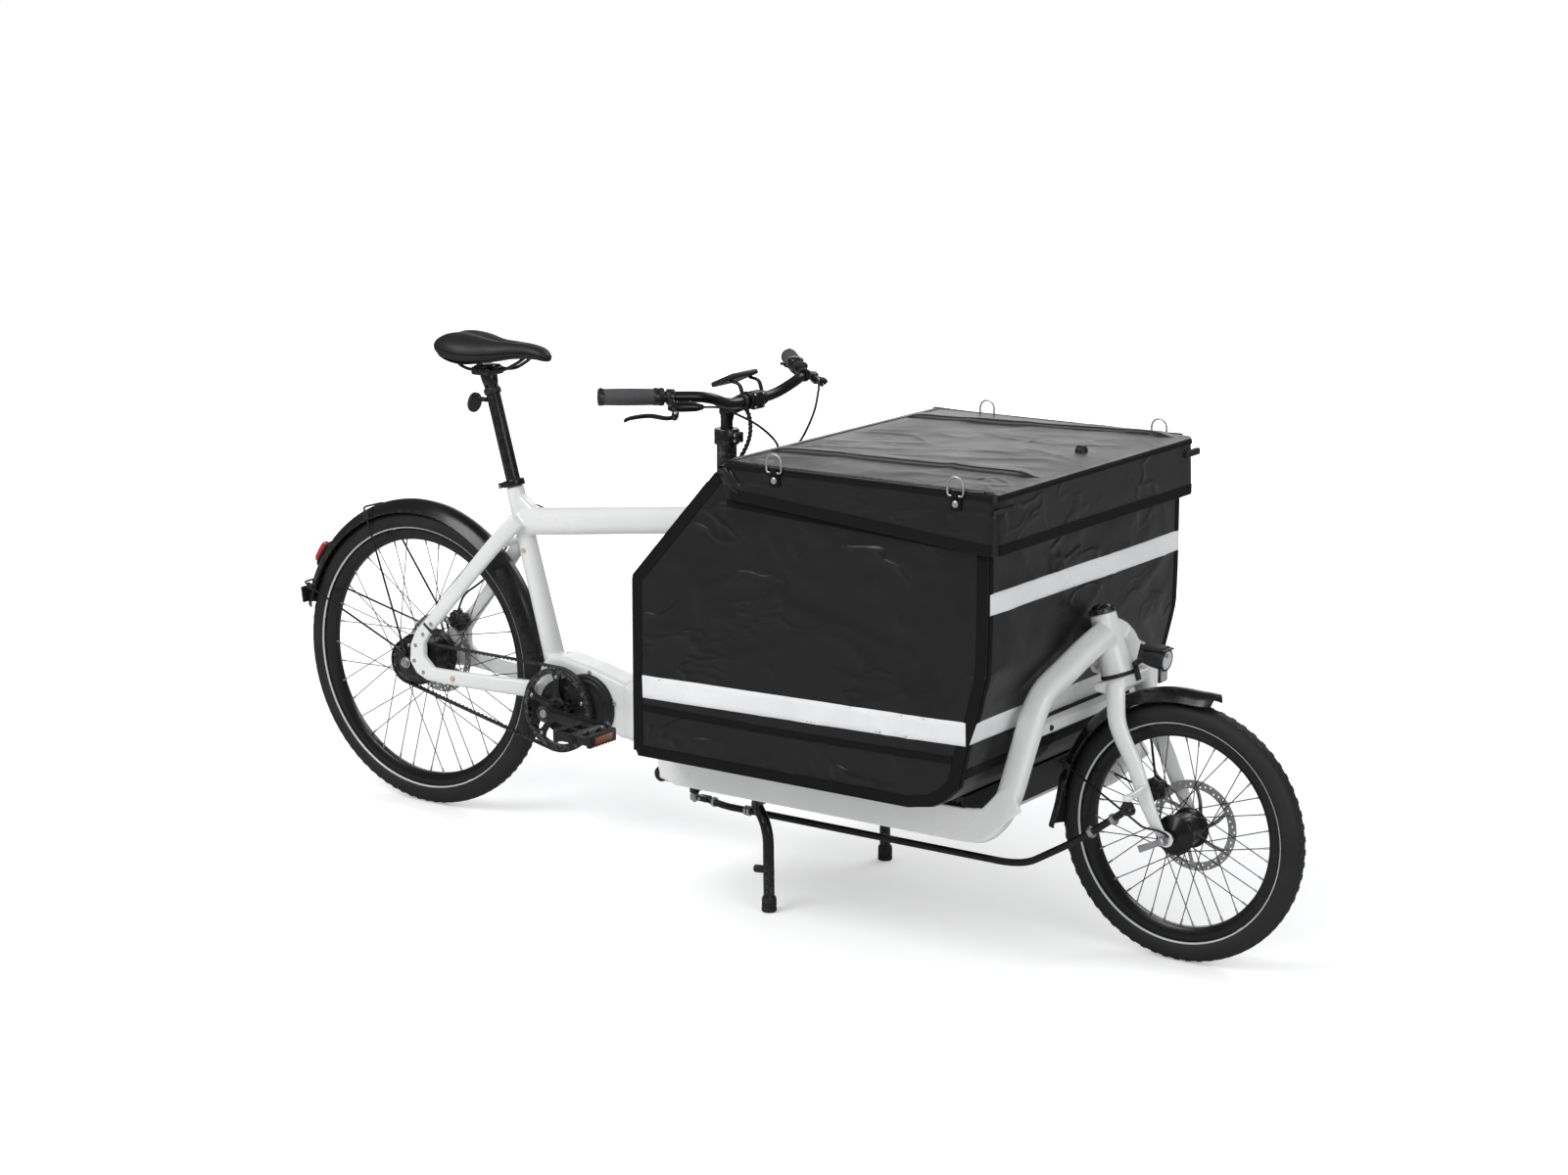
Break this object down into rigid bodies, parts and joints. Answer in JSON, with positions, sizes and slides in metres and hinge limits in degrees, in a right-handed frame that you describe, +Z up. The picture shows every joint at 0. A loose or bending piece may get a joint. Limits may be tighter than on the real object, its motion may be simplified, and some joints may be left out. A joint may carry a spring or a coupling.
{
  "type": "cargo bicycle",
  "caption": "Front-loading cargo bicycle with a soft lidded box, mid motor, belt drive, linked steering, disc brakes and a centre stand.",
  "frame": {"origin": "centre of the bounding box on the ground plane, where the tyres and the stand rest", "axes": "+X is forward, towards the front wheel; +Y is to the rider's left, the brake rotor side; +Z is up"},
  "size_m": [2.4488, 0.764, 1.046],
  "materials": {
    "white_paint": "gloss white paint over aluminium",
    "black_metal": "satin black, painted or anodised",
    "black_plastic": "matte",
    "rubber": "matte",
    "tarpaulin": "semi-gloss coated fabric",
    "saddle_skin": "matte",
    "bright_steel": "brushed",
    "red_lens": "gloss"
  },
  "bodies": {
    "frame": {"frame_rear": "white_paint", "frame_bay": "white_paint", "frame_front": "white_paint", "motor": "black_plastic", "drive_belt": "rubber", "rear_axle": "black_metal", "rear_fender": "black_plastic", "rear_fender_stays": "black_metal", "tail_light": "red_lens", "rear_caliper": "black_metal", "seat_collar": "black_metal", "bay_floor": "black_metal", "box_shell": "tarpaulin", "rear_brake_hose": "rubber"},
    "rear_wheel": {"rear_tyre": "rubber", "rear_rim": "black_metal", "rear_hub": "black_metal", "rear_rotor": "bright_steel"},
    "sprocket": {"rear_sprocket": "black_metal"},
    "crank": {"chainring": "black_metal", "crank_right": "black_metal", "crank_left": "black_metal"},
    "pedal_right": {"pedal_right": "black_plastic"},
    "pedal_left": {"pedal_left": "black_plastic"},
    "fork": {"fork": "white_paint", "front_axle": "bright_steel", "front_fender": "black_plastic", "front_mudflap": "rubber", "front_fender_stays": "black_metal", "front_caliper": "black_metal", "headlight": "black_plastic", "front_brake_hose": "rubber"},
    "front_wheel": {"front_tyre": "rubber", "front_rim": "black_metal", "front_hub": "black_metal", "front_rotor": "bright_steel"},
    "release_lever": {"release_lever": "bright_steel"},
    "column": {"steering_column": "black_metal"},
    "cockpit": {"stem": "black_metal", "handlebar": "black_metal", "grip_right": "rubber", "grip_left": "rubber", "lever_body_right": "black_metal", "lever_body_left": "black_metal", "display": "black_plastic", "hose_right": "rubber", "hose_left": "rubber"},
    "brake_lever_right": {"brake_lever_right": "black_metal"},
    "brake_lever_left": {"brake_lever_left": "black_metal"},
    "rod_swivel": {"rod_swivel": "bright_steel"},
    "tie_rod": {"tie_rod": "black_metal"},
    "stand": {"stand": "black_metal"},
    "lid": {"lid_shell": "tarpaulin"},
    "lid_knob": {"lid_knob": "black_plastic"},
    "ring_front_right": {"ring_front_right": "bright_steel"},
    "ring_front_left": {"ring_front_left": "bright_steel"},
    "ring_rear_right": {"ring_rear_right": "bright_steel"},
    "ring_rear_left": {"ring_rear_left": "bright_steel"},
    "saddle": {"saddle_cover": "saddle_skin", "seatpost": "black_metal"}
  },
  "joints": [
    {"name": "rear_wheel_spin", "type": "hinge", "parent": "frame", "child": "rear_wheel", "pos_m": [-0.88435, 0, 0.3265], "axis": [0, 1, 0], "continuous": true},
    {"name": "crank_spin", "type": "hinge", "parent": "frame", "child": "crank", "pos_m": [-0.47495, 0, 0.281], "axis": [0, 1, 0], "continuous": true},
    {"name": "sprocket_spin", "type": "hinge", "parent": "frame", "child": "sprocket", "pos_m": [-0.88435, 0, 0.3265], "axis": [0, 1, 0], "continuous": true},
    {"name": "pedal_right_spin", "type": "hinge", "parent": "crank", "child": "pedal_right", "pos_m": [-0.29995, -0.186, 0.281], "axis": [0, 1, 0], "continuous": true},
    {"name": "pedal_left_spin", "type": "hinge", "parent": "crank", "child": "pedal_left", "pos_m": [-0.64995, 0.186, 0.281], "axis": [0, 1, 0], "continuous": true},
    {"name": "fork_steer", "type": "hinge", "parent": "frame", "child": "fork", "pos_m": [0.83205, 0, 0.53], "axis": [-0.31, 0, 0.9507], "range_deg": [-25, 25]},
    {"name": "front_wheel_spin", "type": "hinge", "parent": "fork", "child": "front_wheel", "pos_m": [0.97445, 0, 0.25], "axis": [0, 1, 0], "continuous": true},
    {"name": "release_lever_flip", "type": "hinge", "parent": "fork", "child": "release_lever", "pos_m": [0.97445, -0.0838, 0.25], "axis": [-0.4271, 0, 0.9042], "range_deg": [0, 90]},
    {"name": "column_steer", "type": "hinge", "parent": "frame", "child": "column", "pos_m": [-0.07395, 0, 0.18], "axis": [0, 0, 1], "range_deg": [-25.3, 25.3]},
    {"name": "stem_height", "type": "slide", "parent": "column", "child": "cockpit", "axis": [0, 0, 1], "range_m": [0, 0.05]},
    {"name": "brake_pull_right", "type": "hinge", "parent": "cockpit", "child": "brake_lever_right", "pos_m": [-0.01622, -0.25072, 0.97294], "axis": [-0.5061, 0.4718, -0.722], "range_deg": [0, 12], "stiffness_Nm_per_rad": 4, "springref_deg": -17.19},
    {"name": "brake_pull_left", "type": "hinge", "parent": "cockpit", "child": "brake_lever_left", "pos_m": [-0.01622, 0.25072, 0.97294], "axis": [0.5061, 0.4718, 0.722], "range_deg": [0, 12], "stiffness_Nm_per_rad": 4, "springref_deg": -17.19},
    {"name": "rod_swivel_turn", "type": "hinge", "parent": "column", "child": "rod_swivel", "pos_m": [-0.05595, -0.14, 0.18], "axis": [0, 0, 1], "range_deg": [-25, 25]},
    {"name": "tie_rod_pitch", "type": "hinge", "parent": "rod_swivel", "child": "tie_rod", "pos_m": [-0.03795, -0.14, 0.18], "axis": [0, -1, 0], "range_deg": [-1.2, 1.2]},
    {"name": "stand_fold", "type": "hinge", "parent": "frame", "child": "stand", "pos_m": [0.10505, 0, 0.2], "axis": [0, 1, 0], "range_deg": [0, 100]},
    {"name": "lid_open", "type": "hinge", "parent": "frame", "child": "lid", "pos_m": [0.16955, 0, 0.908], "axis": [0, -1, 0], "range_deg": [0, 100]},
    {"name": "lid_knob_turn", "type": "hinge", "parent": "lid", "child": "lid_knob", "pos_m": [0.70505, 0.065, 0.929], "axis": [0, 0, 1], "range_deg": [-90, 90]},
    {"name": "ring_front_right_tilt", "type": "hinge", "parent": "lid", "child": "ring_front_right", "pos_m": [0.70105, -0.377, 0.918], "axis": [1, 0, 0], "range_deg": [0, 170]},
    {"name": "ring_front_left_tilt", "type": "hinge", "parent": "lid", "child": "ring_front_left", "pos_m": [0.70105, 0.377, 0.918], "axis": [-1, 0, 0], "range_deg": [0, 170]},
    {"name": "ring_rear_right_tilt", "type": "hinge", "parent": "lid", "child": "ring_rear_right", "pos_m": [0.30605, -0.377, 0.918], "axis": [1, 0, 0], "range_deg": [0, 170]},
    {"name": "ring_rear_left_tilt", "type": "hinge", "parent": "lid", "child": "ring_rear_left", "pos_m": [0.30605, 0.377, 0.918], "axis": [-1, 0, 0], "range_deg": [0, 170]},
    {"name": "saddle_height", "type": "slide", "parent": "frame", "child": "saddle", "axis": [-0.2721, 0, 0.9623], "range_m": [-0.008, 0.08]}
  ],
  "couplings": [
    {"joint": "sprocket_spin", "follows": "crank_spin", "ratio": 1.9595},
    {"joint": "column_steer", "follows": "fork_steer", "ratio": 1.01},
    {"joint": "rod_swivel_turn", "follows": "fork_steer", "ratio": -1},
    {"joint": "tie_rod_pitch", "follows": "fork_steer", "ratio": 0.0432}
  ]
}
